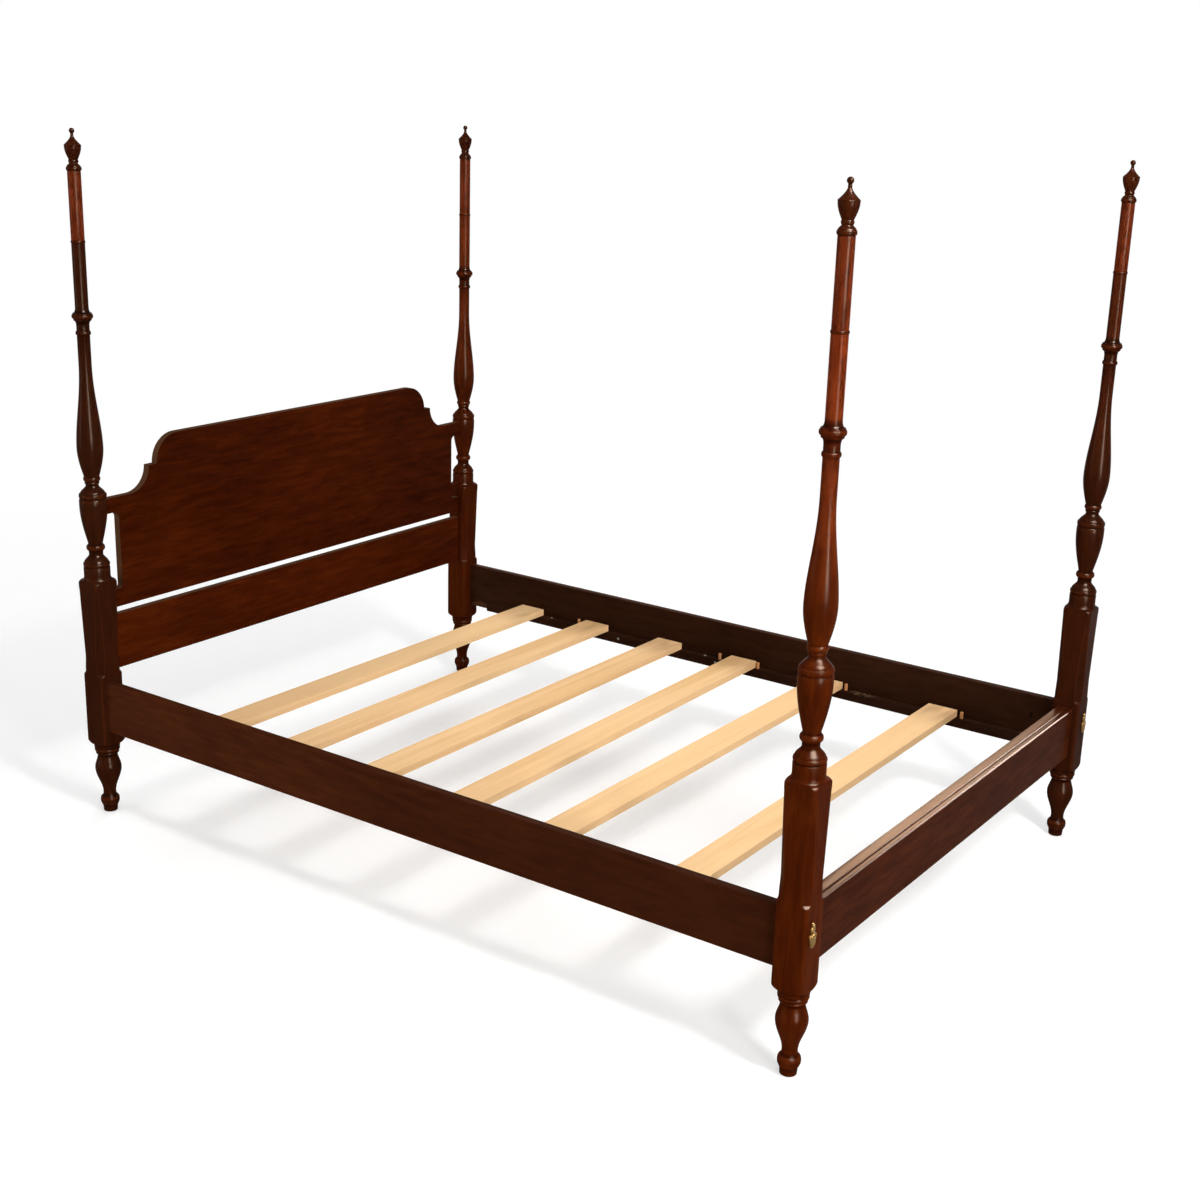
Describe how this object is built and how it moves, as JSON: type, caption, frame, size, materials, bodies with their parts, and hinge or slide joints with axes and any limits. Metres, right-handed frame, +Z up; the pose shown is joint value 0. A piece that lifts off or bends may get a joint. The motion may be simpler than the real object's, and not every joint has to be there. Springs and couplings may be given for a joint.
{
  "type": "poster bed",
  "caption": "Four-poster bed with turned urn-and-shaft posts, shaped headboard, moulded foot rail, loose slats on ledgers and swinging brass bolt covers.",
  "frame": {"origin": "on the floor under the middle of the bed's outline", "axes": "+Z up, +Y towards the headboard, +X towards the right side seen from the foot"},
  "size_m": [1.49, 2.081, 1.7023],
  "materials": {
    "mahogany": "satin polish",
    "red_mahogany": "satin polish",
    "dark_wood": "dark stain, matt",
    "pale_wood": "bare, planed",
    "brass": "polished",
    "steel": "plain"
  },
  "bodies": {
    "bed": {"post_foot_left": "mahogany", "post_foot_right": "mahogany", "post_head_left": "mahogany", "post_head_right": "mahogany", "top_column_foot_left": "red_mahogany", "top_column_foot_right": "red_mahogany", "top_column_head_left": "red_mahogany", "top_column_head_right": "red_mahogany", "headboard_panel": "mahogany", "headboard_rail": "mahogany", "foot_rail": "mahogany", "side_rail_left": "mahogany", "side_rail_right": "mahogany", "ledger_left": "dark_wood", "ledger_right": "dark_wood", "ledger_screws_left": "steel", "ledger_screws_right": "steel", "slat_pegs_left": "pale_wood", "slat_pegs_right": "pale_wood", "bed_bolts": "steel", "bed_bolt_nuts": "steel", "cover_pins": "brass"},
    "slat_1": {"slat_1": "pale_wood"},
    "slat_2": {"slat_2": "pale_wood"},
    "slat_3": {"slat_3": "pale_wood"},
    "slat_4": {"slat_4": "pale_wood"},
    "slat_5": {"slat_5": "pale_wood"},
    "slat_6": {"slat_6": "pale_wood"},
    "finial_foot_left": {"finial_foot_left": "mahogany"},
    "finial_foot_right": {"finial_foot_right": "mahogany"},
    "finial_head_left": {"finial_head_left": "mahogany"},
    "finial_head_right": {"finial_head_right": "mahogany"},
    "bolt_cover_foot_left": {"bolt_cover_foot_left": "brass"},
    "bolt_cover_foot_right": {"bolt_cover_foot_right": "brass"},
    "bolt_cover_head_left": {"bolt_cover_head_left": "brass"},
    "bolt_cover_head_right": {"bolt_cover_head_right": "brass"}
  },
  "joints": [
    {"name": "slat_1_lift", "type": "slide", "parent": "bed", "child": "slat_1", "axis": [0, 0, 1], "range_m": [0, 0.15]},
    {"name": "slat_2_lift", "type": "slide", "parent": "bed", "child": "slat_2", "axis": [0, 0, 1], "range_m": [0, 0.15]},
    {"name": "slat_3_lift", "type": "slide", "parent": "bed", "child": "slat_3", "axis": [0, 0, 1], "range_m": [0, 0.15]},
    {"name": "slat_4_lift", "type": "slide", "parent": "bed", "child": "slat_4", "axis": [0, 0, 1], "range_m": [0, 0.15]},
    {"name": "slat_5_lift", "type": "slide", "parent": "bed", "child": "slat_5", "axis": [0, 0, 1], "range_m": [0, 0.15]},
    {"name": "slat_6_lift", "type": "slide", "parent": "bed", "child": "slat_6", "axis": [0, 0, 1], "range_m": [0, 0.15]},
    {"name": "finial_foot_left_lift", "type": "slide", "parent": "bed", "child": "finial_foot_left", "axis": [0, 0, 1], "range_m": [0, 0.04]},
    {"name": "finial_foot_right_lift", "type": "slide", "parent": "bed", "child": "finial_foot_right", "axis": [0, 0, 1], "range_m": [0, 0.04]},
    {"name": "finial_head_left_lift", "type": "slide", "parent": "bed", "child": "finial_head_left", "axis": [0, 0, 1], "range_m": [0, 0.04]},
    {"name": "finial_head_right_lift", "type": "slide", "parent": "bed", "child": "finial_head_right", "axis": [0, 0, 1], "range_m": [0, 0.04]},
    {"name": "bolt_cover_foot_left_swing", "type": "hinge", "parent": "bed", "child": "bolt_cover_foot_left", "pos_m": [-0.72, -1.0368, 0.33618], "axis": [0, 1, 0], "range_deg": [-150, 150]},
    {"name": "bolt_cover_foot_right_swing", "type": "hinge", "parent": "bed", "child": "bolt_cover_foot_right", "pos_m": [0.72, -1.0368, 0.33618], "axis": [0, 1, 0], "range_deg": [-150, 150]},
    {"name": "bolt_cover_head_left_swing", "type": "hinge", "parent": "bed", "child": "bolt_cover_head_left", "pos_m": [-0.72, 1.0368, 0.33618], "axis": [0, 1, 0], "range_deg": [-150, 150]},
    {"name": "bolt_cover_head_right_swing", "type": "hinge", "parent": "bed", "child": "bolt_cover_head_right", "pos_m": [0.72, 1.0368, 0.33618], "axis": [0, 1, 0], "range_deg": [-150, 150]}
  ]
}
